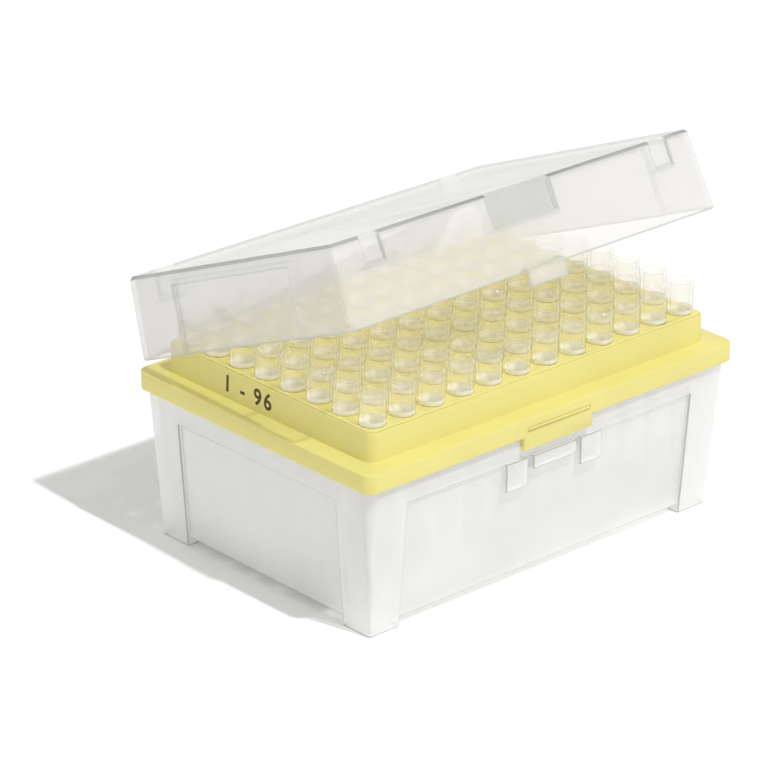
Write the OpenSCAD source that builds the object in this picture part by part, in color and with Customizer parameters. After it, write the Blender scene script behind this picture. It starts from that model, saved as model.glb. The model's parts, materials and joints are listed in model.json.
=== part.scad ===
// Box of pipette tips: a footed base, a lift-out tray holding 96 tips, and a clear hinged lid.
// Millimetres. +X runs along the hinge, +Y points from the latch to the hinge, +Z is up.
// The origin is on the bench, under the middle of the outline from latch bead to hinge ears.

/* [Tip grid] */
// Centre-to-centre spacing of the tips; 9 is the laboratory standard
tip_pitch = 9; // [8.8:0.1:12]
// How far the outermost holes stay from the inside of the deck's walls
edge_gap = 0.35; // [0.1:0.05:6]

/* [Tip] */
// Overall length of one tip
tip_length = 50; // [46:0.5:90]
// Height of the thick collar that stands above the deck
collar_height = 8; // [5:0.5:9]
// Outside diameter of the shaft just below the collar
shaft_diameter = 5.2; // [4.8:0.1:6.2]
// How far the collar's lip stands out from the shaft all round
shoulder_width = 0.7; // [0.6:0.05:0.9]
// Wall thickness of the collar's lip, around the mouth that a pipette cone enters
lip_wall = 0.65; // [0.4:0.05:0.9]
// Outside diameter of the tip's drawn-out end
point_diameter = 0.9; // [0.7:0.1:1.4]
// Radial clearance between a shaft and its hole in the deck
hole_clearance = 0.25; // [0.1:0.05:0.3]

/* [Base] */
// Clear height between the floor and the tips' points
point_clearance = 4.9; // [1:0.1:20]
// Wall thickness of the base
base_wall = 1.3; // [1:0.1:2]
// Thickness of the floor plate
floor_thickness = 1.5; // [1:0.1:3]
// Clear height under the floor, between the four corner feet
foot_height = 2; // [1:0.1:4]
// How much narrower each wall is at the bottom than at the top
base_draft = 3.1; // [0.5:0.1:3.1]
// Outside radius of the vertical corners at the rim
base_corner = 3.3; // [3.3:0.1:9]
// Width of each thicker corner column, seen from the front or the end
column_width = 12.2; // [10:0.1:13]
// How far the side panels are set back between the columns
panel_depth = 0.8; // [0.4:0.1:1.2]
// Height of the plain band between the panels and the tray
rim_band = 6; // [5:0.5:8]
// Half width of the thumb ledge under the latch tab
ledge_half = 7; // [4:0.5:8]

/* [Tray] */
// Height of the raised deck above the flange
deck_height = 7.5; // [5:0.1:9]
// Thickness of the deck plate and of the flange plate
plate_thickness = 1.6; // [1.2:0.1:2.4]
// Width of the shelf around the raised deck, where the lid's rim comes down
shelf_width = 5.4; // [5:0.1:9]
// Height of the flange, from its lower edge to its top
flange_height = 4.6; // [4:0.1:6]
// Wall thickness of the flange's skirt and of the raised deck
tray_wall = 1.1; // [1:0.1:1.8]
// Gap between the skirt and the base's rim
skirt_gap = 0.1; // [0.1:0.05:0.4]
// Outside radius of the flange's corners
flange_corner = 3; // [2.5:0.1:4.5]
// Outside radius of the raised deck's corners
deck_corner = 2.2; // [2:0.1:5]
// Width of the latch tab at the middle of the front flange
tab_width = 22; // [16:0.5:30]
// How far the latch tab hangs below the flange
tab_drop = 3.3; // [2:0.1:4]
// How far the latch bead stands out from the flange's front face
bead_height = 0.3; // [0.2:0.05:0.3]
// Depth of the stiffening ribs under the deck
rib_depth = 4; // [2:0.5:6]

/* [Lid] */
// Clear height between the tips and the closed lid's ceiling
tip_headroom = 3.4; // [2:0.1:20]
// Wall and top thickness of the lid
lid_wall = 1.2; // [0.9:0.1:1.4]
// How far the lid's rim stands inside the flange's edge
lid_inset = 0.5; // [0.3:0.1:1.6]
// How much each wall leans in from rim to top
lid_draft = 1.7; // [0.5:0.1:1.8]
// Outside radius of the lid's vertical corners at its rim
lid_corner = 3.2; // [3:0.1:9]
// Bevel around the lid's top edge
top_bevel = 0.8; // [0.3:0.1:1]
// Width of the thumb pocket in the front wall
pocket_width = 20; // [12:0.5:30]
// Height of the thumb pocket, down from the top
pocket_height = 8; // [4:0.5:9]
// Depth of the thumb pocket
pocket_depth = 1.4; // [0.6:0.1:1.5]
// Width of the small stacking notches near the ends of the front and back walls
notch_width = 5.5; // [3:0.5:8]
// Height of the stacking notches, down from the top
notch_height = 6.5; // [3:0.5:9]
// Depth of the stacking notches
notch_depth = 0.7; // [0.3:0.1:1.2]
// Width of the sunk panel in each end wall
end_panel_width = 44; // [20:1:50]
// Height of the sunk panel, up from the rim
end_panel_height = 16.5; // [8:0.5:17]
// Depth of the sunk panel
end_panel_depth = 1; // [0.4:0.1:1.2]
// Width of the latch tongue
tongue_width = 12; // [8:0.5:18]
// How far the latch tongue reaches below the lid's rim
tongue_drop = 3.4; // [2:0.1:4.4]

/* [Hinge] */
// How far the lid stands open
open_angle = 22.5; // [0:0.5:95]
// Opening angle at which the lid leans on the hinge ears
stop_angle = 102; // [96:1:105]
// Diameter of the lid's hinge pegs
peg_diameter = 2.6; // [2:0.1:3.2]
// Radial running clearance of a peg in its ear
peg_clearance = 0.05; // [0.02:0.01:0.1]
// Distance from the flange's back edge to the hinge axis
axis_setback = 3.7; // [3.4:0.1:5]
// Height of the hinge axis above the flange
axis_rise = 1.3; // [0.8:0.1:2]
// Distance from the middle of the box to the middle of each hinge
hinge_spread = 34; // [15:0.5:38]
// Width of the lid's arm between a pair of ears
arm_width = 8; // [5:0.5:10]
// Thickness of one ear
ear_thickness = 2.4; // [1.8:0.1:3]

/* [Hidden] */
GRID_COLUMNS = 12;
GRID_ROWS = 8;
$fn = 64;
// Extra length that carries a cut clear of the surface it opens
over = 1;
// How far an added feature is rooted in the wall it stands on
root = 0.9;
// Smallest radius left on a vertical corner where insets and draft use the radius up
least_radius = 0.2;

// Tip and hole
hole_diameter = shaft_diameter + 2 * hole_clearance;
collar_diameter = shaft_diameter + 2 * shoulder_width;
mouth_diameter = collar_diameter - 2 * lip_wall;

// Half sizes, counted from the middle of the tip grid
deck_margin = hole_diameter / 2 + edge_gap + tray_wall;
deck_x = (GRID_COLUMNS - 1) * tip_pitch / 2 + deck_margin;
deck_y = (GRID_ROWS - 1) * tip_pitch / 2 + deck_margin;
flange_x = deck_x + shelf_width;
flange_y = deck_y + shelf_width;
base_x = flange_x - tray_wall - skirt_gap;
base_y = flange_y - tray_wall - skirt_gap;
lid_x = flange_x - lid_inset;
lid_y = flange_y - lid_inset;

// Levels, up from the bench
floor_top = foot_height + floor_thickness;
point_low = floor_top + point_clearance;
tip_top = point_low + tip_length;
deck_top = tip_top - collar_height;
deck_under = deck_top - plate_thickness;
flange_top = deck_top - deck_height;
flange_low = flange_top - flange_height;
base_height = flange_top - plate_thickness;
panel_top = flange_low - rim_band;
seat_gap = 0.1;
lid_low = flange_top + seat_gap;
ceiling = tip_top + tip_headroom;
lid_top = ceiling + lid_wall;
lid_height = lid_top - lid_low;

// Deck
deck_draft = 0.3;
deck_bevel = 0.4;

// Hinge
axis_y = flange_y + axis_setback;
axis_z = flange_top + axis_rise;
knuckle_r = 2.6;
ear_r = 3.2;
ear_gap = 0.3;
ear_back = axis_y + ear_r;
middle_y = (ear_back - flange_y - bead_height) / 2;

// The open lid's back wall comes to rest on the ears' sloping tops, this far from the axis
stop_clearance = 0.05;
wall_lean = atan(lid_draft / lid_height);
wall_reach = (axis_y - lid_y) * cos(wall_lean) + (axis_z - lid_low) * sin(wall_lean);
stop_reach = wall_reach - stop_clearance;
stop_slope = stop_angle - wall_lean - 90;

in_row_frame() base_box();
in_row_frame() tip_tray();
in_row_frame() lid();
for (i = [1 : GRID_COLUMNS])
    in_row_frame() tip_column(i);

// Puts the origin under the middle of the whole outline.
module in_row_frame()
    translate([0, -middle_y, 0]) children();

// ---------- Shared shapes ----------

// A size to the nearest hundredth of a millimetre, so that faces built apart still meet.
function fine(size) = round(100 * size) / 100;

// A block with rounded vertical corners and leaning walls. cx and cy are the corner centres,
// and the corner radius runs from r_low at z_low to r_high at z_high.
module soft_block(cx, cy, r_low, r_high, z_low, z_high) {
    for (sx = [-1, 1], sy = [-1, 1])
        translate([sx * cx, sy * cy, z_low])
            cylinder(h = z_high - z_low, r1 = r_low, r2 = r_high);
    rotate([90, 0, 90])
        linear_extrude(2 * cx, center = true)
            leaning_section(cy, r_low, r_high, z_low, z_high);
    rotate([90, 0, 0])
        linear_extrude(2 * cy, center = true)
            leaning_section(cx, r_low, r_high, z_low, z_high);
}

module leaning_section(c, r_low, r_high, z_low, z_high)
    polygon([
        [-c - r_low, z_low],
        [c + r_low, z_low],
        [c + r_high, z_high],
        [-c - r_high, z_high]
    ]);

// Two crossing bars: the space in front of the middle of all four walls.
module wall_windows(half_x, half_y, z_low, z_high) {
    end_window(half_y, z_low, z_high);
    long_window(0, half_x, z_low, z_high);
}

module end_window(half_y, z_low, z_high)
    translate([-2 * flange_x, -half_y, z_low])
        cube([4 * flange_x, 2 * half_y, z_high - z_low]);

module long_window(middle_x, half_x, z_low, z_high)
    translate([middle_x - half_x, -2 * flange_y, z_low])
        cube([2 * half_x, 4 * flange_y, z_high - z_low]);

module front_window(half_x, z_low, z_high)
    translate([-half_x, -2 * flange_y, z_low])
        cube([2 * half_x, 2 * flange_y, z_high - z_low]);

// ---------- Base ----------

// The base's outer shape from z_low up, drawn in on every wall by inset. The corner centres move
// in as well, once the inset and the draft have used up the corner radius.
module base_form(inset, z_low, z_high) {
    lean = fine(base_draft * (flange_low - z_low) / flange_low);
    centre_in = max(base_corner, inset + lean + least_radius);
    r_top = centre_in - inset;
    cx = base_x - centre_in;
    cy = base_y - centre_in;
    soft_block(cx, cy, r_top - lean, r_top, z_low, flange_low);
    soft_block(cx, cy, r_top, r_top, flange_low, z_high);
}

module base_outside() {
    half_x = base_x - column_width;
    half_y = base_y - column_width;
    difference() {
        base_form(0, 0, base_height);
        difference() {
            wall_windows(half_x, half_y, -over, panel_top);
            base_form(panel_depth, 0, base_height);
        }
        wall_windows(half_x, half_y, -over, foot_height);
    }
}

// The hollow follows the outside, so that every wall and foot has the same thickness.
module base_inside() {
    half_x = base_x - column_width + base_wall;
    half_y = base_y - column_width + base_wall;
    difference() {
        base_form(base_wall, floor_thickness, base_height + over);
        difference() {
            wall_windows(half_x, half_y, 0, panel_top + base_wall);
            base_form(base_wall + panel_depth, 0, base_height);
        }
        wall_windows(half_x, half_y, 0, floor_top);
    }
}

// One ear, in the plane across the hinge axis: a bracket off the wall, an upright behind the
// flange, an eye around the axis, and a sloping top on which the open lid comes to rest.
module ear_section() {
    upright_front = flange_y + 0.5;
    bracket_top = flange_low - 0.4;
    bracket_low = flange_low - 11;
    heel_low = flange_low - 3;
    wall_back = base_y - base_wall - panel_depth;
    polygon([
        [wall_back, bracket_low],
        [base_y, bracket_low],
        [ear_back, heel_low],
        [ear_back, axis_z],
        [upright_front, axis_z],
        [upright_front, bracket_top],
        [wall_back, bracket_top]
    ]);
    translate([axis_y, axis_z]) {
        circle(r = ear_r);
        intersection() {
            rotate(-stop_slope)
                polygon([
                    [-ear_r, 0],
                    [2 * ear_r, 0],
                    [2 * ear_r, stop_reach],
                    [0.1 * ear_r, stop_reach],
                    [-0.8 * ear_r, 0.6 * ear_r]
                ]);
            translate([-ear_r, 0])
                square([2 * ear_r, 2 * stop_reach]);
        }
    }
}

module hinge_ears()
    for (side = [-1, 1], edge = [-1, 1])
        translate([side * hinge_spread + edge * (arm_width + ear_thickness + 2 * ear_gap) / 2, 0, 0])
            rotate([90, 0, 90])
                linear_extrude(ear_thickness, center = true)
                    ear_section();

// Thumb ledge under the latch tab, between two guard blocks.
module latch_ledge() {
    wall_y = base_y - 0.6;
    ledge_top = flange_low - 5.8;
    ledge_rise = 0.9;
    ledge_thick = 3.5;
    guard_rise = 0.7;
    guard_width = 7;
    guard_high = 7.2;
    guard_x = ledge_half + 5;
    depth = root + panel_depth;
    translate([-ledge_half, -wall_y - ledge_rise, ledge_top - ledge_thick])
        cube([2 * ledge_half, ledge_rise + depth, ledge_thick]);
    for (side = [-1, 1])
        translate([side * guard_x - guard_width / 2, -wall_y - guard_rise, ledge_top - guard_high])
            cube([guard_width, guard_rise + depth, guard_high]);
}

module base_box() color("whitesmoke", 0.5)
    difference() {
        union() {
            base_outside();
            hinge_ears();
            latch_ledge();
        }
        base_inside();
        translate([-flange_x, axis_y, axis_z])
            rotate([0, 90, 0])
                cylinder(h = 2 * flange_x, r = peg_diameter / 2 + peg_clearance);
    }

// ---------- Tray ----------

module deck_form(inset, r_low, r_high, z_low, z_high)
    soft_block(deck_x - deck_corner, deck_y - deck_corner, r_low - inset, r_high - inset, z_low, z_high);

module flange_form(inset, z_low, z_high) {
    r = flange_corner - inset;
    soft_block(flange_x - flange_corner, flange_y - flange_corner, r, r, z_low, z_high);
}

module tray_outside() {
    bevel_low = deck_top - deck_bevel;
    bead_low = flange_low + 1.6;
    bead_thick = 1;
    flange_form(0, flange_low, flange_top);
    deck_form(0, deck_corner + deck_draft, deck_corner, base_height, bevel_low);
    deck_form(0, deck_corner, deck_corner - deck_bevel, bevel_low, deck_top);
    translate([-tab_width / 2, -flange_y, flange_low - tab_drop])
        cube([tab_width, tray_wall, tab_drop + over]);
    translate([1 - tab_width / 2, -flange_y - bead_height, bead_low])
        cube([tab_width - 2, bead_height + root, bead_thick]);
}

module tray_inside() {
    flange_form(tray_wall, flange_low - over, base_height);
    deck_form(tray_wall, deck_corner + deck_draft, deck_corner, flange_low, deck_under);
}

// Stiffening ribs under the deck, midway between tips.
module deck_ribs() {
    rib = 0.9;
    rib_z = deck_under - rib_depth / 2;
    for (step = [-4 : 2 : 4])
        translate([step * tip_pitch, 0, rib_z])
            cube([rib, 2 * deck_y - tray_wall, rib_depth], center = true);
    for (step = [-2 : 2 : 2])
        translate([0, step * tip_pitch, rib_z])
            cube([2 * deck_x - tray_wall, rib, rib_depth], center = true);
}

module tip_holes()
    for (column = [1 : GRID_COLUMNS], row = [1 : GRID_ROWS])
        translate([tip_x(column), tip_y(row), deck_under - over])
            cylinder(h = plate_thickness + 2 * over, d = hole_diameter);

module tip_tray() color("khaki")
    difference() {
        union() {
            difference() {
                tray_outside();
                tray_inside();
            }
            deck_ribs();
        }
        tip_holes();
    }

// ---------- Tips ----------

function tip_x(column) = (column - (GRID_COLUMNS + 1) / 2) * tip_pitch;
function tip_y(row) = (row - (GRID_ROWS + 1) / 2) * tip_pitch;

// One tip, standing on its point at the origin: a slender drawn end, a conical body, a shoulder
// that rests on the deck, and an open collar with a thicker lip.
module tip() {
    shoulder = tip_length - collar_height;
    neck = 0.2 * shoulder;
    waist = 0.5 * shoulder;
    lip_low = tip_length - 1.2;
    lip = 0.1;
    skin = 0.45;
    point_r = point_diameter / 2;
    neck_r = point_r + 0.4;
    shaft_r = shaft_diameter / 2;
    waist_r = 0.58 * shaft_r;
    collar_r = collar_diameter / 2;
    rotate_extrude()
        polygon([
            [point_r / 2, 0],
            [point_r, 0],
            [neck_r, neck],
            [waist_r, waist],
            [shaft_r, shoulder],
            [collar_r - lip, shoulder],
            [collar_r - lip, lip_low],
            [collar_r, lip_low],
            [collar_r, tip_length],
            [mouth_diameter / 2, tip_length],
            [shaft_r - skin, shoulder],
            [waist_r - skin, waist],
            [neck_r - skin, neck]
        ]);
}

module tip_column(column) color("oldlace")
    for (row = [1 : GRID_ROWS])
        translate([tip_x(column), tip_y(row), point_low])
            tip();

// ---------- Lid ----------

// How far the closed lid's walls have leaned in at height z.
function lid_lean(z) = fine(lid_draft * (z - lid_low) / lid_height);

// The closed lid's outer shape up to z_high, drawn in on every wall by inset. The corner centres
// move in as well, once the inset and the draft have used up the corner radius.
module lid_form(inset, z_high) {
    lean = lid_lean(z_high);
    centre_in = max(lid_corner, inset + lean + least_radius);
    r_low = centre_in - inset;
    soft_block(lid_x - centre_in, lid_y - centre_in, r_low, r_low - lean, lid_low, z_high);
}

module beveled_lid() {
    bevel_low = lid_top - top_bevel;
    r_bevel = lid_corner - lid_lean(bevel_low);
    lid_form(0, bevel_low);
    soft_block(lid_x - lid_corner, lid_y - lid_corner, r_bevel, r_bevel - top_bevel, bevel_low, lid_top);
}

// What the pockets, notches and end panels take off the walls. With grow at the wall thickness,
// it is the same set one wall farther in, which fills the hollow behind them.
module lid_hollows(grow) {
    notch_x = base_x - column_width;
    notch_low = lid_top - notch_height;
    difference() {
        end_window(end_panel_width / 2 + grow, lid_low - over, lid_low + end_panel_height + grow);
        lid_form(end_panel_depth + grow, lid_top);
    }
    difference() {
        front_window(pocket_width / 2 + grow, lid_top - pocket_height - grow, lid_top + over);
        lid_form(pocket_depth + grow, lid_top + over);
    }
    difference() {
        for (side = [-1, 1])
            long_window(side * notch_x, notch_width / 2 + grow, notch_low - grow, lid_top + over);
        lid_form(notch_depth + grow, lid_top + over);
    }
}

module lid_inside() {
    difference() {
        lid_form(lid_wall, ceiling);
        lid_hollows(lid_wall);
    }
}

// Arm with a rounded knuckle, carrying a peg on each side.
module hinge_arm() {
    peg_length = arm_width + 2 * (ear_gap + ear_thickness);
    arm_low = lid_low + 0.3;
    arm_top = axis_z + knuckle_r - 0.3;
    rotate([90, 0, 90])
        linear_extrude(arm_width, center = true) {
            translate([axis_y, axis_z])
                circle(r = knuckle_r);
            translate([lid_y - root, arm_low])
                square([axis_y - lid_y + root, arm_top - arm_low]);
        }
    translate([0, axis_y, axis_z])
        rotate([0, 90, 0])
            cylinder(h = peg_length, d = peg_diameter, center = true);
}

// Springy tongue that comes down over the tray's latch bead.
module latch_tongue() {
    tongue_back = flange_y + bead_height + 0.05;
    tongue_thick = 1;
    bridge = 1.3;
    translate([-tongue_width / 2, -tongue_back - tongue_thick, lid_low - tongue_drop])
        cube([tongue_width, tongue_thick, tongue_drop + bridge]);
    translate([-tongue_width / 2, -tongue_back - tongue_thick, lid_low])
        cube([tongue_width, tongue_back + tongue_thick - lid_y + root, bridge]);
}

module lid_closed()
    difference() {
        union() {
            difference() {
                beveled_lid();
                lid_hollows(0);
            }
            for (side = [-1, 1])
                translate([side * hinge_spread, 0, 0])
                    hinge_arm();
            latch_tongue();
        }
        lid_inside();
    }

module lid() color("aliceblue", 0.4)
    translate([0, axis_y, axis_z])
        rotate([-open_angle, 0, 0])
            translate([0, -axis_y, -axis_z])
                lid_closed();
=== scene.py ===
"""Looks of a box of pipette tips: a frosted base, a yellow tray, 96 tips and a clear hinged lid."""

import json
import math

import bmesh
import bpy
from bpy.props import FloatProperty, FloatVectorProperty, IntProperty, PointerProperty
from mathutils import Matrix, Vector
from mathutils.bvhtree import BVHTree


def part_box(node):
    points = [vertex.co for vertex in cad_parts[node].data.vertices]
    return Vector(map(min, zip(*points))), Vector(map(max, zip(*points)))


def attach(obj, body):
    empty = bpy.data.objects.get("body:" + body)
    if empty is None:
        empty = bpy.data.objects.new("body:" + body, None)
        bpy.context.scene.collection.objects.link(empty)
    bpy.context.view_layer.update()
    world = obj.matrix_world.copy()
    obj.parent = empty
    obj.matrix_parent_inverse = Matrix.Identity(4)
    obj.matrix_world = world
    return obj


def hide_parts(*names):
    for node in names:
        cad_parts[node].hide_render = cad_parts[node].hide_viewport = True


bl_info = {
    "name": "Box of pipette tips",
    "version": (1, 0, 0),
    "blender": (4, 5, 0),
    "location": "3D View > Sidebar > Tip box",
    "description": "Moulded shells, tips, finishes and a studio for a packed box of pipette tips",
    "category": "Object",
}

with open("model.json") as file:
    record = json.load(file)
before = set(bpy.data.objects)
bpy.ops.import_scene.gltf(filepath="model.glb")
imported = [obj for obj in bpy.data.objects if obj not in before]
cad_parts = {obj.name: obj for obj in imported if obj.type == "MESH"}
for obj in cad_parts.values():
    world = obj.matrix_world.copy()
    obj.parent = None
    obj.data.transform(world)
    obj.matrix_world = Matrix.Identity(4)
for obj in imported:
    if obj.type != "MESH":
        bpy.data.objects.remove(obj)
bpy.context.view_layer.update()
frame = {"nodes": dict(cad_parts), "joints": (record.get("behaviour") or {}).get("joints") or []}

MM = 0.001
COLUMNS = 12
ROWS = 8

# Share of light that plastic of IOR 1.49 mirrors, seen square on
FACE_MIRROR = 0.04

# Faces of a CAD part that turn by less than this were one flat face
FLAT_TURN = math.radians(0.5)
# Edges that turn by more than this are rounded
SHARP_TURN = math.radians(35)
BEVEL_STEPS = 3
# Share of the lid's rounding that its inner corners get, so that they clear the tray's edge
LID_INNER = 0.5
# Reach of the hinge's eyes, pegs and round ends about its axis
HINGE_REACH = 3.4 * MM

# Least and greatest depth of the lid's pocket behind its latch tongue
POCKET_DEPTH = (3 * MM, 6 * MM)
# Half of the width in which the pocket lies, clear of the notches
POCKET_REACH = 18 * MM
# How far up the faces of the bevel round the lid's top point
RIM_SLOPE = (0.5, 0.9)
# How squarely a face has to point up, to the front or to the side to count as such
LEVEL, FRONTAL, SIDEWAYS = 0.99, 0.9, 0.7

# Turn in radians from a tip to the next column's and the next row's, so that ribs don't line up
COLUMN_TURN, ROW_TURN = 0.7, 1.9

# Height of a figure as a share of its font's size, and the widening of the gaps between figures
FIGURE_HEIGHT = 0.7
FIGURE_SPACING = 1.25
INK_THICKNESS = 0.02 * MM
# How much thicker than the font the pad prints a stroke, on each side
INK_SPREAD = 0.12 * MM

# Where the key light comes from, and half the width of the floor
SUN_FROM = Vector((0.05, -0.565, 1))
FLOOR_REACH = 3

# The order of the lid's materials
FRONT, RIM, TOP, EDGE_AND_POCKET_SHADE, SIDE = range(5)


# ---------- Colours and nodes ----------


def linear(hex_colour):
    """An sRGB hex colour as the linear values that shaders take."""
    shares = [int(hex_colour[i : i + 2], 16) / 255 for i in (1, 3, 5)]
    return [s / 12.92 if s <= 0.04045 else ((s + 0.055) / 1.055) ** 2.4 for s in shares]


def add(tree, kind, inputs=None, **settings):
    """Adds a node with its settings, and sets or links its inputs by name or number."""
    node = tree.nodes.new(kind)
    for name, value in settings.items():
        setattr(node, name, value)
    for name, value in (inputs or {}).items():
        socket = node.inputs[name]
        if isinstance(value, bpy.types.NodeSocket):
            tree.links.new(value, socket)
        elif socket.type == "RGBA":
            socket.default_value = (*value[:3], 1)
        else:
            socket.default_value = value
    return node


def new_material(name):
    """An empty material, its node tree and its output node."""
    material = bpy.data.materials.new(name)
    material.use_nodes = True
    tree = material.node_tree
    tree.nodes.clear()
    return material, tree, add(tree, "ShaderNodeOutputMaterial")


# ---------- Sizes and colours that a user would change ----------


class TipBoxShape(bpy.types.PropertyGroup):
    """Sizes that the moulded shells and the tips add to the CAD parts."""

    edge_round: FloatProperty(
        name="Shell edge",
        description="Rounding of the edges of base and tray",
        default=0.3 * MM,
        unit="LENGTH",
    )
    lid_round: FloatProperty(
        name="Lid edge",
        description="Rounding of the lid's edges",
        default=0.45 * MM,
        unit="LENGTH",
    )
    top_area: FloatProperty(
        name="Lid top",
        description="Least area of the lid's polished faces",
        default=0.002,
        unit="AREA",
    )
    shaft_radius: FloatProperty(
        name="Shaft radius",
        description="Radius of a tip just below its collar",
        default=2.6 * MM,
        unit="LENGTH",
    )
    lip_wall: FloatProperty(
        name="Lip wall",
        description="Thickness of the lip around a tip's mouth",
        default=0.65 * MM,
        unit="LENGTH",
    )
    tip_wall: FloatProperty(
        name="Tip wall",
        description="Wall thickness of a tip's cone",
        default=0.45 * MM,
        unit="LENGTH",
    )
    rib_depth: FloatProperty(
        name="Collar ribs",
        description="Depth of the fine ribs round a collar",
        default=0.2 * MM,
        unit="LENGTH",
    )
    spokes: IntProperty(
        name="Spokes",
        description="Faces round one tip, two for each rib",
        default=24,
    )
    mark_height: FloatProperty(
        name="Count height",
        description="Height of the printed count's figures",
        default=4.0 * MM,
        unit="LENGTH",
    )
    mark_place: FloatProperty(
        name="Count place",
        description="Where the count's middle is along the end wall",
        default=3.4 * MM,
        unit="LENGTH",
    )
    mark_drop: FloatProperty(
        name="Count drop",
        description="How far the count's middle is below the deck",
        default=4 * MM,
        unit="LENGTH",
    )


class TipBoxFinish(bpy.types.PropertyGroup):
    """Colours of the plastics and the print, and how cloudy the clear ones are."""

    base_colour: FloatVectorProperty(
        name="Base",
        description="Frosted base",
        subtype="COLOR",
        default=linear("#FEFEFE"),
    )
    base_haze: FloatProperty(
        name="Base haze",
        description="Share of light that a face of the base's wall scatters",
        default=0.52,
        subtype="FACTOR",
    )
    tray_colour: FloatVectorProperty(
        name="Tray",
        description="Yellow tray",
        subtype="COLOR",
        default=linear("#F4EB93"),
    )
    tip_colour: FloatVectorProperty(
        name="Tips",
        description="Translucent tips",
        subtype="COLOR",
        default=linear("#FCFAEE"),
    )
    tip_haze: FloatProperty(
        name="Tip haze",
        description="Share of light that a face of a tip's wall scatters",
        default=0.03,
        subtype="FACTOR",
    )
    lid_colour: FloatVectorProperty(
        name="Lid",
        description="Front of the clear lid",
        subtype="COLOR",
        default=linear("#F7F6F8"),
    )
    # The ends and back are painted greyer than the front, as shade
    lid_side_shade_colour: FloatVectorProperty(
        name="Lid sides",
        description="Ends and back of the clear lid",
        subtype="COLOR",
        default=linear("#EEEDEE"),
    )
    lid_haze: FloatProperty(
        name="Lid haze",
        description="Share of light that a face of the lid's wall scatters",
        default=0.28,
        subtype="FACTOR",
    )
    ink_colour: FloatVectorProperty(
        name="Ink",
        description="Printed count on the tray",
        subtype="COLOR",
        default=linear("#4A431F"),
    )


class TipBoxStage(bpy.types.PropertyGroup):
    """Floor, lights and camera."""

    floor_colour: FloatVectorProperty(
        name="Floor",
        description="Paper floor",
        subtype="COLOR",
        default=linear("#FFFFFF"),
    )
    sun_strength: FloatProperty(
        name="Sun",
        description="Strength of the key light",
        default=1.63,
    )
    sun_angle: FloatProperty(
        name="Sun size",
        description="Apparent size of the key light",
        default=math.radians(1.5),
        subtype="ANGLE",
    )
    world_strength: FloatProperty(
        name="Fill",
        description="Strength of the even fill light",
        default=0.58,
    )
    camera_place: FloatVectorProperty(
        name="Camera",
        description="Place of the camera",
        default=(-0.6176, -0.6630, 0.4297),
        subtype="TRANSLATION",
    )
    camera_turn: FloatVectorProperty(
        name="Turn",
        description="Turn of the camera",
        default=[math.radians(a) for a in (66.42, -0.31, -42.16)],
        subtype="EULER",
    )
    lens: FloatProperty(
        name="Lens",
        description="Focal length in millimetres",
        default=193.45,
        unit="CAMERA",
    )


# ---------- Materials ----------


def hazy_plastic(name, colour, tint, haze, glow, shade, gloss, texture):
    """A thin wall of clear or milky plastic. haze holds the shares of light that it scatters, seen
    square on and seen edge on. glow is the part of that which comes out on the far side, and shade
    the part that darkens the wall's shadow. gloss holds the shares of light that it mirrors, seen
    square on and edge on, and its roughness. texture is its moulded grain's size and strength."""
    material, tree, output = new_material(name)
    place = add(tree, "ShaderNodeTexCoord").outputs["Object"]
    grain = add(
        tree,
        "ShaderNodeTexNoise",
        {"Vector": place, "Scale": 1 / texture[0], "Detail": 3.0},
    ).outputs[0]
    bump = add(
        tree,
        "ShaderNodeBump",
        {"Height": grain, "Strength": texture[1], "Distance": texture[0] / 4},
    ).outputs[0]
    # Broad patches, 22 mm across, of slightly more and less haze
    flow = add(
        tree,
        "ShaderNodeTexNoise",
        {"Vector": place, "Scale": 1 / (22 * MM), "Detail": 2.0},
    ).outputs[0]
    uneven = add(
        tree,
        "ShaderNodeMapRange",
        {"Value": flow, "From Min": 0.3, "From Max": 0.7, "To Min": 0.95, "To Max": 1.05},
    ).outputs[0]
    angle = add(tree, "ShaderNodeLayerWeight", {"Blend": 0.5}).outputs["Facing"]
    steep = add(tree, "ShaderNodeMath", {0: angle, 1: 2.0}, operation="POWER").outputs[0]
    cloud = add(
        tree,
        "ShaderNodeMapRange",
        {"Value": steep, "To Min": haze[0], "To Max": haze[1]},
    ).outputs[0]
    cloud = add(
        tree,
        "ShaderNodeMath",
        {0: cloud, 1: uneven},
        operation="MULTIPLY",
        use_clamp=True,
    ).outputs[0]
    to_lamp = add(tree, "ShaderNodeLightPath").outputs["Is Shadow Ray"]
    part = add(
        tree,
        "ShaderNodeMapRange",
        {"Value": to_lamp, "To Min": 1.0, "To Max": shade},
    ).outputs[0]
    share = add(tree, "ShaderNodeMath", {0: cloud, 1: part}, operation="MULTIPLY").outputs[0]
    skin = add(tree, "ShaderNodeBsdfDiffuse", {"Color": colour, "Normal": bump})
    through = add(tree, "ShaderNodeBsdfTranslucent", {"Color": colour, "Normal": bump})
    solid = add(
        tree,
        "ShaderNodeMixShader",
        {0: glow, 1: skin.outputs[0], 2: through.outputs[0]},
    )
    clear = add(tree, "ShaderNodeBsdfTransparent", {"Color": tint})
    wall = add(
        tree,
        "ShaderNodeMixShader",
        {0: share, 1: clear.outputs[0], 2: solid.outputs[0]},
    )
    glancing = add(tree, "ShaderNodeMath", {0: angle, 1: 5.0}, operation="POWER").outputs[0]
    mirrored = add(
        tree,
        "ShaderNodeMapRange",
        {"Value": glancing, "To Min": gloss[0], "To Max": gloss[1]},
    ).outputs[0]
    shine = add(
        tree,
        "ShaderNodeBsdfGlossy",
        {"Color": (1, 1, 1), "Roughness": gloss[2], "Normal": bump},
    )
    coated = add(
        tree,
        "ShaderNodeMixShader",
        {0: mirrored, 1: wall.outputs[0], 2: shine.outputs[0]},
    )
    tree.links.new(coated.outputs[0], output.inputs["Surface"])
    return material


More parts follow.
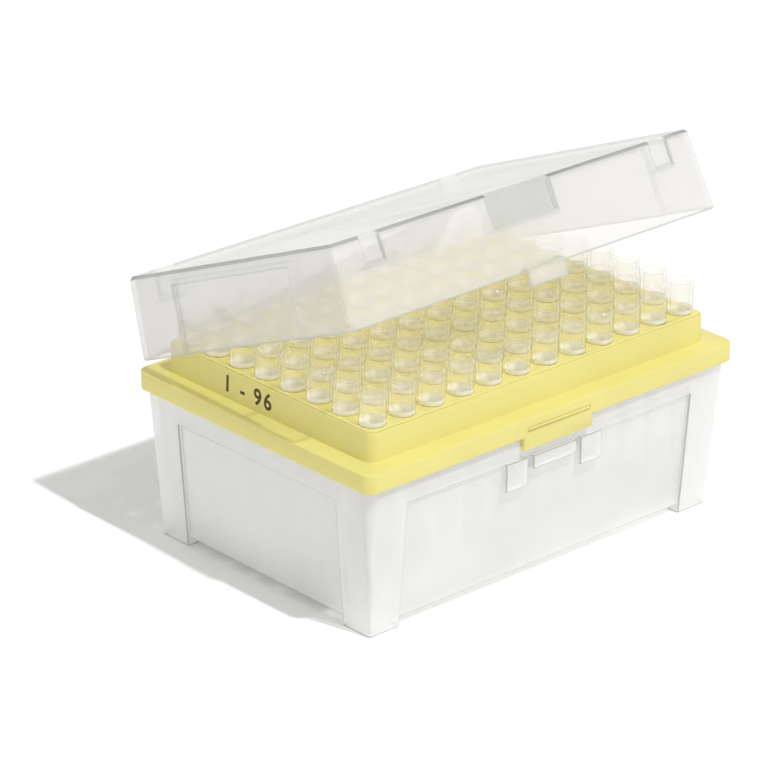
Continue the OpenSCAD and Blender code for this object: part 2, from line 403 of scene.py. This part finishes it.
def frosted_polypropylene(finish):
    """Natural polypropylene moulded against blasted steel: milky white, with the tips inside as
    faint strokes."""
    return hazy_plastic(
        "frosted natural polypropylene",
        finish.base_colour,
        tint=(0.995, 0.995, 0.99),
        haze=(finish.base_haze, 0.95),
        glow=0.05,
        shade=0.3,
        gloss=(FACE_MIRROR, 1.0, 0.4),
        texture=(0.5 * MM, 0.15),
    )


def polypropylene_edge_shade(finish):
    """The base's rounded edges: painted shade, a fine grey line where the curved plastic bends
    light away.
    """
    return hazy_plastic(
        "frosted polypropylene painted edge shade",
        # A grey of painted shade for the rounded edges
        linear("#BEC0BE"),
        tint=(0.87, 0.87, 0.87),
        haze=(0.8, 0.95),
        glow=0.1,
        shade=1.0,
        gloss=(FACE_MIRROR, 1.0, 0.4),
        texture=(0.5 * MM, 0.15),
    )


def thin_polypropylene(finish):
    """Unpigmented polypropylene drawn thin, at a tip's collar: glassy, bright and hardly cloudy."""
    return hazy_plastic(
        "thin natural polypropylene",
        finish.tip_colour,
        tint=(0.995, 0.99, 0.975),
        haze=(finish.tip_haze, 0.3),
        glow=0.8,
        shade=0.15,
        gloss=(FACE_MIRROR, 1.0, 0.12),
        texture=(2 * MM, 0.05),
    )


def thick_polypropylene(finish):
    """The same plastic where it is thicker, at a tip's seat and cone: milky."""
    return hazy_plastic(
        "thick natural polypropylene",
        finish.tip_colour,
        tint=(0.99, 0.985, 0.97),
        haze=(0.75, 0.9),
        glow=0.1,
        shade=0.15,
        gloss=(FACE_MIRROR, 1.0, 0.2),
        texture=(2 * MM, 0.05),
    )


def clear_polystyrene(finish):
    """Crystal polystyrene at the lid's front: bright, with a slight cloud over what stands
    behind it."""
    return hazy_plastic(
        "clear polystyrene",
        finish.lid_colour,
        tint=(0.995, 0.995, 0.995),
        haze=(finish.lid_haze, 0.75),
        glow=0.35,
        shade=0.25,
        gloss=(FACE_MIRROR, 1.0, 0.14),
        texture=(6 * MM, 0.03),
    )


def side_polystyrene_painted_shade(finish):
    """The lid's ends and back: they pass less of the key light, which darkens their shadow, and
    their colour is painted a little greyer than the front's, as shade. Their gloss is a little
    rougher."""
    return hazy_plastic(
        "clear polystyrene sides with painted shade",
        # A grey of painted shade for the ends and back
        finish.lid_side_shade_colour,
        tint=(0.99, 0.99, 0.99),
        haze=(finish.lid_haze, 0.75),
        glow=0.35,
        shade=2.2,
        gloss=(FACE_MIRROR, 1.0, 0.2),
        texture=(6 * MM, 0.03),
    )


def polystyrene_rim(finish):
    """The bevel round the lid's top: a grey line, as light is led along inside it and little
    comes out."""
    return hazy_plastic(
        "clear polystyrene rim",
        linear("#A2A6A4"),
        tint=(0.8, 0.81, 0.8),
        haze=(0.55, 0.85),
        glow=0.2,
        shade=1.0,
        gloss=(FACE_MIRROR, 1.0, 0.14),
        texture=(6 * MM, 0.03),
    )


def polystyrene_edge_shade(finish):
    """The lid's rounded edges and its pocket's floor: painted a little greyer than the walls, as
    shade along the edges and down in the pocket.
    """
    return hazy_plastic(
        "clear polystyrene painted edge shade",
        # A grey of painted shade for the edges and the pocket's floor
        linear("#D0D3D1"),
        tint=(0.92, 0.93, 0.92),
        haze=(0.4, 0.75),
        glow=0.2,
        shade=1.0,
        gloss=(FACE_MIRROR, 1.0, 0.14),
        texture=(6 * MM, 0.03),
    )


def top_polystyrene_painted_shade(finish):
    """The lid's polished top: clearer than its walls, so that daylight falls through onto the tips,
    and painted greyer than them as shade. Seen edge on it mirrors a little less than the walls do."""
    return hazy_plastic(
        "clear polystyrene top with painted shade",
        # A grey of painted shade for the top
        linear("#DBDCDB"),
        tint=(0.99, 0.99, 0.99),
        haze=(0.2, 0.5),
        glow=0.5,
        shade=0.25,
        gloss=(FACE_MIRROR, 0.68, 0.1),
        texture=(6 * MM, 0.03),
    )


def yellow_polypropylene(finish):
    """Pigmented polypropylene with a satin moulded skin: an even pale yellow that glows a
    little."""
    material, tree, output = new_material("yellow polypropylene")
    place = add(tree, "ShaderNodeTexCoord").outputs["Object"]
    grain = add(
        tree,
        "ShaderNodeTexNoise",
        {"Vector": place, "Scale": 1 / (0.6 * MM), "Detail": 3.0},
    ).outputs[0]
    bump = add(
        tree,
        "ShaderNodeBump",
        {"Height": grain, "Strength": 0.12, "Distance": 0.1 * MM},
    ).outputs[0]
    # Broad patches, 30 mm across, where the pigment is slightly denser
    flow = add(
        tree,
        "ShaderNodeTexNoise",
        {"Vector": place, "Scale": 1 / (30 * MM), "Detail": 2.0},
    ).outputs[0]
    shade = add(
        tree,
        "ShaderNodeMapRange",
        {"Value": flow, "From Min": 0.3, "From Max": 0.7, "To Min": 0.97, "To Max": 1.03},
    ).outputs[0]
    # Inputs 6 and 7 and output 2 of a Mix node are its colours
    colour = add(
        tree,
        "ShaderNodeMix",
        {"Factor": 1.0, 6: finish.tray_colour, 7: shade},
        data_type="RGBA",
        blend_type="MULTIPLY",
    ).outputs[2]
    skin = add(
        tree,
        "ShaderNodeBsdfPrincipled",
        {"Base Color": colour, "Roughness": 0.38, "IOR": 1.49, "Normal": bump},
    )
    through = add(tree, "ShaderNodeBsdfTranslucent", {"Color": colour})
    solid = add(
        tree,
        "ShaderNodeMixShader",
        {0: 0.15, 1: skin.outputs[0], 2: through.outputs[0]},
    )
    tree.links.new(solid.outputs[0], output.inputs["Surface"])
    return material


def pad_print_ink(finish):
    """Dark pad-printing ink: thin, matt and a little uneven."""
    material, tree, output = new_material("pad print ink")
    place = add(tree, "ShaderNodeTexCoord").outputs["Object"]
    grain = add(
        tree,
        "ShaderNodeTexNoise",
        {"Vector": place, "Scale": 1 / (0.4 * MM), "Detail": 2.0},
    ).outputs[0]
    rough = add(
        tree,
        "ShaderNodeMapRange",
        {"Value": grain, "To Min": 0.5, "To Max": 0.8},
    ).outputs[0]
    skin = add(
        tree,
        "ShaderNodeBsdfPrincipled",
        {"Base Color": finish.ink_colour, "Roughness": rough},
    )
    tree.links.new(skin.outputs[0], output.inputs["Surface"])
    return material


def floor_paper(stage):
    """Seamless background paper: flat white, with a matt tooth too fine to see. It glows by a
    hundredth for the camera, so that it is as white as the background behind it."""
    material, tree, output = new_material("background paper")
    place = add(tree, "ShaderNodeTexCoord").outputs["Object"]
    tooth = add(
        tree,
        "ShaderNodeTexNoise",
        {"Vector": place, "Scale": 1 / (1.5 * MM), "Detail": 2.0},
    ).outputs[0]
    bump = add(tree, "ShaderNodeBump", {"Height": tooth, "Strength": 0.02}).outputs[0]
    skin = add(
        tree,
        "ShaderNodeBsdfPrincipled",
        {
            "Base Color": stage.floor_colour,
            "Roughness": 0.9,
            "Specular IOR Level": 0.1,
            "Normal": bump,
        },
    )
    seen = add(tree, "ShaderNodeLightPath").outputs["Is Camera Ray"]
    lift = add(tree, "ShaderNodeMath", {0: seen, 1: 0.01}, operation="MULTIPLY").outputs[0]
    glow = add(tree, "ShaderNodeEmission", {"Color": (1, 1, 1), "Strength": lift})
    lit = add(tree, "ShaderNodeAddShader", {0: skin.outputs[0], 1: glow.outputs[0]})
    tree.links.new(lit.outputs[0], output.inputs["Surface"])
    return material


# ---------- Meshes ----------


def new_piece(mesh_source, name, body, slot, materials, *nodes):
    """Turns a bmesh into an object that stands for CAD nodes and rides on their body."""
    mesh = bpy.data.meshes.new(name)
    mesh_source.to_mesh(mesh)
    mesh_source.free()
    piece = bpy.data.objects.new(name, mesh)
    bpy.context.scene.collection.objects.link(piece)
    for material in materials:
        mesh.materials.append(material)
    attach(piece, body)
    if nodes:
        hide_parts(*nodes)
    return piece


def moulded_copy(node):
    """A copy of a CAD node with its triangles merged back into flat and rounded faces."""
    shell = bmesh.new()
    shell.from_mesh(frame["nodes"][node].data)
    bmesh.ops.remove_doubles(shell, verts=shell.verts, dist=1e-6)
    bmesh.ops.dissolve_limit(
        shell, angle_limit=FLAT_TURN, verts=shell.verts, edges=shell.edges
    )
    for face in shell.faces:
        face.smooth = True
    return shell


def weigh_edges(shell, inner=1, hinge_reach=0):
    """Marks a shell's sharp edges to be rounded, or kept sharp beside a face of a second material.
    inner is the share of the full radius that an inner corner gets, and 0 keeps it sharp. Edges
    within hinge_reach of the hinge's axis are kept sharp too."""
    axis = Vector(frame["joints"][0]["pos_m"]).yz
    weight = shell.edges.layers.float.new("bevel_weight_edge")
    for edge in shell.edges:
        if edge.calc_face_angle() > SHARP_TURN:
            share = 1 if edge.is_convex else inner
            if all((vert.co.yz - axis).length < hinge_reach for vert in edge.verts):
                share = 0
            if share == 0 or any(face.material_index for face in edge.link_faces):
                edge.smooth = False
            else:
                edge[weight] = share
    return shell


def round_edges(piece, radius, edge_shade_material=-1):
    """Rounds a shell's marked edges as a mould leaves them."""
    bevel = piece.modifiers.new("moulded edges", "BEVEL")
    bevel.width = radius
    bevel.segments = BEVEL_STEPS
    bevel.limit_method = "WEIGHT"
    bevel.use_clamp_overlap = False
    bevel.harden_normals = True
    # A given material paints shade on the rounded faces
    bevel.material = edge_shade_material
    return piece


def tip_profile(shape, length, collar, radius):
    """One tip's section as (radius, height) points: up the outside, over the lip and down the
    inside."""
    shoulder = length - collar
    neck, waist = 0.2 * shoulder, 0.5 * shoulder
    end_r, end_bore = 0.42 * MM, 0.22 * MM
    neck_r, waist_r, shaft_r = 0.85 * MM, 0.58 * shape.shaft_radius, shape.shaft_radius
    collar_r = radius - 0.1 * MM
    mouth_r = radius - shape.lip_wall
    wall = shape.tip_wall
    soft = 0.25 * MM
    seat = shaft_r - 0.25 * MM
    return [
        (end_r, 0),
        (neck_r, neck),
        (waist_r, waist),
        (shaft_r, shoulder - 0.1 * MM),
        (collar_r - soft, shoulder),
        (collar_r, shoulder + soft),
        (collar_r, shoulder + 1.2 * MM),
        (collar_r, length - 2.0 * MM),
        (collar_r, length - 1.3 * MM),
        (radius, length - 1.1 * MM),
        (radius, length - soft),
        (radius - soft, length),
        (mouth_r + 0.1 * MM, length),
        (mouth_r - 0.1 * MM, length - 0.4 * MM),
        (seat, shoulder + 0.8 * MM),
        (seat - 0.35 * MM, shoulder),
        (waist_r - wall, waist),
        (neck_r - wall, neck),
        (end_bore, 0),
    ]


def tip_mesh(shape, length, collar, radius):
    """One tip standing on the origin, spun from its profile, with fine upright ribs round its
    collar."""
    tip = bmesh.new()
    ring = [tip.verts.new((r, 0, z)) for r, z in tip_profile(shape, length, collar, radius)]
    edges = [tip.edges.new(pair) for pair in zip(ring, ring[1:] + ring[:1])]
    bmesh.ops.spin(
        tip,
        geom=ring + edges,
        axis=(0, 0, 1),
        cent=(0, 0, 0),
        angle=2 * math.pi,
        steps=shape.spokes,
        use_merge=True,
    )
    bmesh.ops.remove_doubles(tip, verts=tip.verts, dist=1e-7)
    bmesh.ops.recalc_face_normals(tip, faces=tip.faces)
    # Above this height a tip is thin, and its outside is ribbed up to the lip
    thin_low, rib_high = length - collar + 1 * MM, length - 1.9 * MM
    outside = radius - 0.2 * MM
    spoke = 2 * math.pi / shape.spokes
    for vert in tip.verts:
        on_collar = thin_low < vert.co.z < rib_high and vert.co.xy.length > outside
        if on_collar and round(math.atan2(vert.co.y, vert.co.x) / spoke) % 2:
            vert.co.xy -= vert.co.xy.normalized() * shape.rib_depth
    for face in tip.faces:
        face.smooth = True
        face.material_index = int(face.calc_center_median().z < thin_low)
    mesh = bpy.data.meshes.new("one tip")
    tip.to_mesh(mesh)
    tip.free()
    return mesh


# ---------- Pieces ----------


class TIPBOX_OT_base(bpy.types.Operator):
    """Base: a footed box of frosted plastic with sunk side panels, a latch ledge and hinge ears"""

    bl_idname = "tipbox.base"
    bl_label = "Base"

    def execute(self, context):
        shape, finish = context.scene.tipbox_shape, context.scene.tipbox_finish
        shell = weigh_edges(moulded_copy("base_box"), inner=0)
        plastics = [frosted_polypropylene(finish), polypropylene_edge_shade(finish)]
        piece = new_piece(shell, "base_shell", "box", "base_plastic", plastics, "base_box")
        # The rounded edges take the second material, a grey of painted shade
        round_edges(piece, shape.edge_round, 1)
        return {"FINISHED"}


class TIPBOX_OT_tray(bpy.types.Operator):
    """Tray: the yellow lift-out deck with its 96 holes, shelf and skirt"""

    bl_idname = "tipbox.tray"
    bl_label = "Tray"

    def execute(self, context):
        shape, finish = context.scene.tipbox_shape, context.scene.tipbox_finish
        shell = weigh_edges(moulded_copy("tip_tray"))
        plastics = [yellow_polypropylene(finish)]
        piece = new_piece(shell, "tray_shell", "box", "tray_plastic", plastics, "tip_tray")
        round_edges(piece, shape.edge_round)
        return {"FINISHED"}


class TIPBOX_OT_lid(bpy.types.Operator):
    """Lid: the clear cover with its hinge arms, thumb pocket, stacking notches and latch tongue"""

    bl_idname = "tipbox.lid"
    bl_label = "Lid"

    def execute(self, context):
        shape, finish = context.scene.tipbox_shape, context.scene.tipbox_finish
        shell = moulded_copy("lid")
        # The lid is open at rest, so the closed lid's directions are turned with it
        hinge = frame["joints"][0]
        closed = math.radians(hinge["range_deg"][0])
        turn = Matrix.Rotation(-closed, 3, Vector(hinge["axis"]))
        up, front = turn @ Vector((0, 0, 1)), turn @ Vector((0, -1, 0))
        foremost = max(vert.co.dot(front) for vert in shell.verts)
        for face in shell.faces:
            if RIM_SLOPE[0] < face.normal.dot(up) < RIM_SLOPE[1]:
                face.material_index = RIM
        weigh_edges(shell, inner=LID_INNER, hinge_reach=HINGE_REACH)
        for face in shell.faces:
            centre = face.calc_center_median()
            depth = foremost - centre.dot(front)
            if abs(face.normal.dot(up)) > LEVEL and face.calc_area() > shape.top_area:
                face.material_index = TOP
            elif (
                face.normal.dot(front) > FRONTAL
                and POCKET_DEPTH[0] < depth < POCKET_DEPTH[1]
                and abs(centre.x) < POCKET_REACH
            ):
                # The pocket's floor takes the edges' grey, as painted shade in the recess
                face.material_index = EDGE_AND_POCKET_SHADE
            elif abs(face.normal.x) > SIDEWAYS or centre.y > 0:
                # The ends and back take the greyer material of painted shade, unless they are rim
                face.material_index = face.material_index or SIDE
        plastics = [
            clear_polystyrene(finish),
            polystyrene_rim(finish),
            top_polystyrene_painted_shade(finish),
            polystyrene_edge_shade(finish),
            side_polystyrene_painted_shade(finish),
        ]
        piece = new_piece(shell, "lid_shell", "lid", "lid_plastic", plastics, "lid")
        round_edges(piece, shape.lid_round, EDGE_AND_POCKET_SHADE)
        return {"FINISHED"}


class TIPBOX_OT_tips(bpy.types.Operator):
    """Tips: twelve columns of eight ribbed tips, hanging by their collars in the deck"""

    bl_idname = "tipbox.tips"
    bl_label = "Tips"

    def execute(self, context):
        shape, finish = context.scene.tipbox_shape, context.scene.tipbox_finish
        low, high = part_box("tip_column_1")
        deck_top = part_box("tip_tray")[1].z
        radius = (high.x - low.x) / 2
        pitch = (high.y - low.y - 2 * radius) / (ROWS - 1)
        tip = tip_mesh(shape, high.z - low.z, high.z - deck_top, radius)
        plastics = [thin_polypropylene(finish), thick_polypropylene(finish)]
        for column in range(1, COLUMNS + 1):
            node = f"tip_column_{column}"
            low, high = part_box(node)
            tips = bmesh.new()
            for row in range(ROWS):
                first = len(tips.verts)
                tips.from_mesh(tip)
                tips.verts.ensure_lookup_table()
                place = Vector(((low.x + high.x) / 2, low.y + radius + row * pitch, low.z))
                turn = Matrix.Rotation(COLUMN_TURN * column + ROW_TURN * row, 4, "Z")
                bmesh.ops.transform(
                    tips, matrix=Matrix.Translation(place) @ turn, verts=tips.verts[first:]
                )
            new_piece(tips, f"tips_{column}", "box", "tip_plastic", plastics, node)
        bpy.data.meshes.remove(tip)
        return {"FINISHED"}


class TIPBOX_OT_mark(bpy.types.Operator):
    """Count: the number of tips, printed on the end wall of the deck"""

    bl_idname = "tipbox.mark"
    bl_label = "Printed count"

    def execute(self, context):
        shape, finish = context.scene.tipbox_shape, context.scene.tipbox_finish
        letters = bpy.data.curves.new("count", "FONT")
        letters.body = f"1 - {COLUMNS * ROWS}"
        letters.size = shape.mark_height / FIGURE_HEIGHT
        letters.align_x = "CENTER"
        letters.align_y = "CENTER"
        letters.extrude = INK_THICKNESS
        letters.offset = INK_SPREAD
        letters.space_character = FIGURE_SPACING
        text = bpy.data.objects.new("count", letters)
        context.scene.collection.objects.link(text)
        context.view_layer.update()
        ink = bmesh.new()
        ink.from_mesh(bpy.data.meshes.new_from_object(text))
        bpy.data.objects.remove(text)
        tray = moulded_copy("tip_tray")
        low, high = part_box("tip_tray")
        start = Vector((low.x, shape.mark_place, high.z - shape.mark_drop))
        place, out, *_ = BVHTree.FromBMesh(tray).ray_cast(start, (1, 0, 0))
        tray.free()
        if place is None:
            raise RuntimeError("the deck's end wall isn't in front of the printed count")
        across = Vector((0, -1, 0))
        turn = Matrix((across, out.cross(across), out)).transposed().to_4x4()
        bmesh.ops.transform(ink, matrix=Matrix.Translation(place) @ turn, verts=ink.verts)
        new_piece(ink, "printed_count", "box", "tray_plastic", [pad_print_ink(finish)])
        return {"FINISHED"}


# ---------- Stage ----------


class TIPBOX_OT_stage(bpy.types.Operator):
    """Stage: a white paper floor, one small sun in front, an even fill and the camera"""

    bl_idname = "tipbox.stage"
    bl_label = "Stage"

    def execute(self, context):
        scene, stage = context.scene, context.scene.tipbox_stage
        paper = bmesh.new()
        bmesh.ops.create_grid(paper, x_segments=1, y_segments=1, size=FLOOR_REACH)
        mesh = bpy.data.meshes.new("floor")
        paper.to_mesh(mesh)
        paper.free()
        mesh.materials.append(floor_paper(stage))
        floor = bpy.data.objects.new("floor", mesh)
        scene.collection.objects.link(floor)

        sun = bpy.data.lights.new("sun", "SUN")
        sun.energy = stage.sun_strength
        sun.angle = stage.sun_angle
        lamp = bpy.data.objects.new("sun", sun)
        lamp.rotation_euler = SUN_FROM.to_track_quat("Z", "Y").to_euler()
        scene.collection.objects.link(lamp)

        # White where the camera, a reflection or a clear wall sees it, and a plain fill elsewhere
        world = bpy.data.worlds.new("studio")
        scene.world = world
        world.use_nodes = True
        tree = world.node_tree
        tree.nodes.clear()
        path = add(tree, "ShaderNodeLightPath").outputs
        seen = add(
            tree,
            "ShaderNodeMath",
            {0: path["Is Camera Ray"], 1: path["Is Glossy Ray"]},
            operation="MAXIMUM",
        ).outputs[0]
        seen = add(
            tree,
            "ShaderNodeMath",
            {0: seen, 1: path["Is Transmission Ray"]},
            operation="MAXIMUM",
        ).outputs[0]
        level = add(
            tree,
            "ShaderNodeMapRange",
            {"Value": seen, "To Min": stage.world_strength, "To Max": 1.0},
        ).outputs[0]
        light = add(tree, "ShaderNodeBackground", {"Color": (1, 1, 1), "Strength": level})
        output = add(tree, "ShaderNodeOutputWorld")
        tree.links.new(light.outputs[0], output.inputs["Surface"])

        lens = bpy.data.cameras.new("camera")
        lens.lens = stage.lens
        lens.sensor_width = 36
        camera = bpy.data.objects.new("camera", lens)
        camera.location = stage.camera_place
        camera.rotation_euler = stage.camera_turn
        scene.collection.objects.link(camera)
        scene.camera = camera
        scene.view_settings.view_transform = "Standard"

        # Light crosses two faces of each clear wall, and many walls, before it reaches the floor
        scene.cycles.transparent_max_bounces = 96
        scene.cycles.diffuse_bounces = 12
        scene.cycles.glossy_bounces = 8
        return {"FINISHED"}


# ---------- Panel and registration ----------


class TIPBOX_PT_panel(bpy.types.Panel):
    """Sidebar panel with the box's sizes, finishes and steps"""

    bl_label = "Box of pipette tips"
    bl_idname = "TIPBOX_PT_panel"
    bl_space_type = "VIEW_3D"
    bl_region_type = "UI"
    bl_category = "Tip box"

    def draw(self, context):
        for key in GROUPS:
            group = getattr(context.scene, key)
            box = self.layout.box()
            for name in group.__annotations__:
                box.prop(group, name)
        for step in STEPS:
            self.layout.operator(step.bl_idname)


STEPS = (
    TIPBOX_OT_base,
    TIPBOX_OT_tray,
    TIPBOX_OT_lid,
    TIPBOX_OT_tips,
    TIPBOX_OT_mark,
    TIPBOX_OT_stage,
)
GROUPS = {
    "tipbox_shape": TipBoxShape,
    "tipbox_finish": TipBoxFinish,
    "tipbox_stage": TipBoxStage,
}
CLASSES = (*GROUPS.values(), *STEPS, TIPBOX_PT_panel)


def register():
    """Registers the classes and hangs the property groups on the scene."""
    for cls in CLASSES:
        bpy.utils.register_class(cls)
    for name, group in GROUPS.items():
        setattr(bpy.types.Scene, name, PointerProperty(type=group))


def unregister():
    """Takes the property groups off the scene and unregisters the classes."""
    for name in GROUPS:
        delattr(bpy.types.Scene, name)
    for cls in reversed(CLASSES):
        bpy.utils.unregister_class(cls)


def main():
    """Builds every piece and the stage."""
    register()
    for step in STEPS:
        getattr(bpy.ops.tipbox, step.bl_idname.split(".")[1])()


if __name__ == "__main__":
    main()
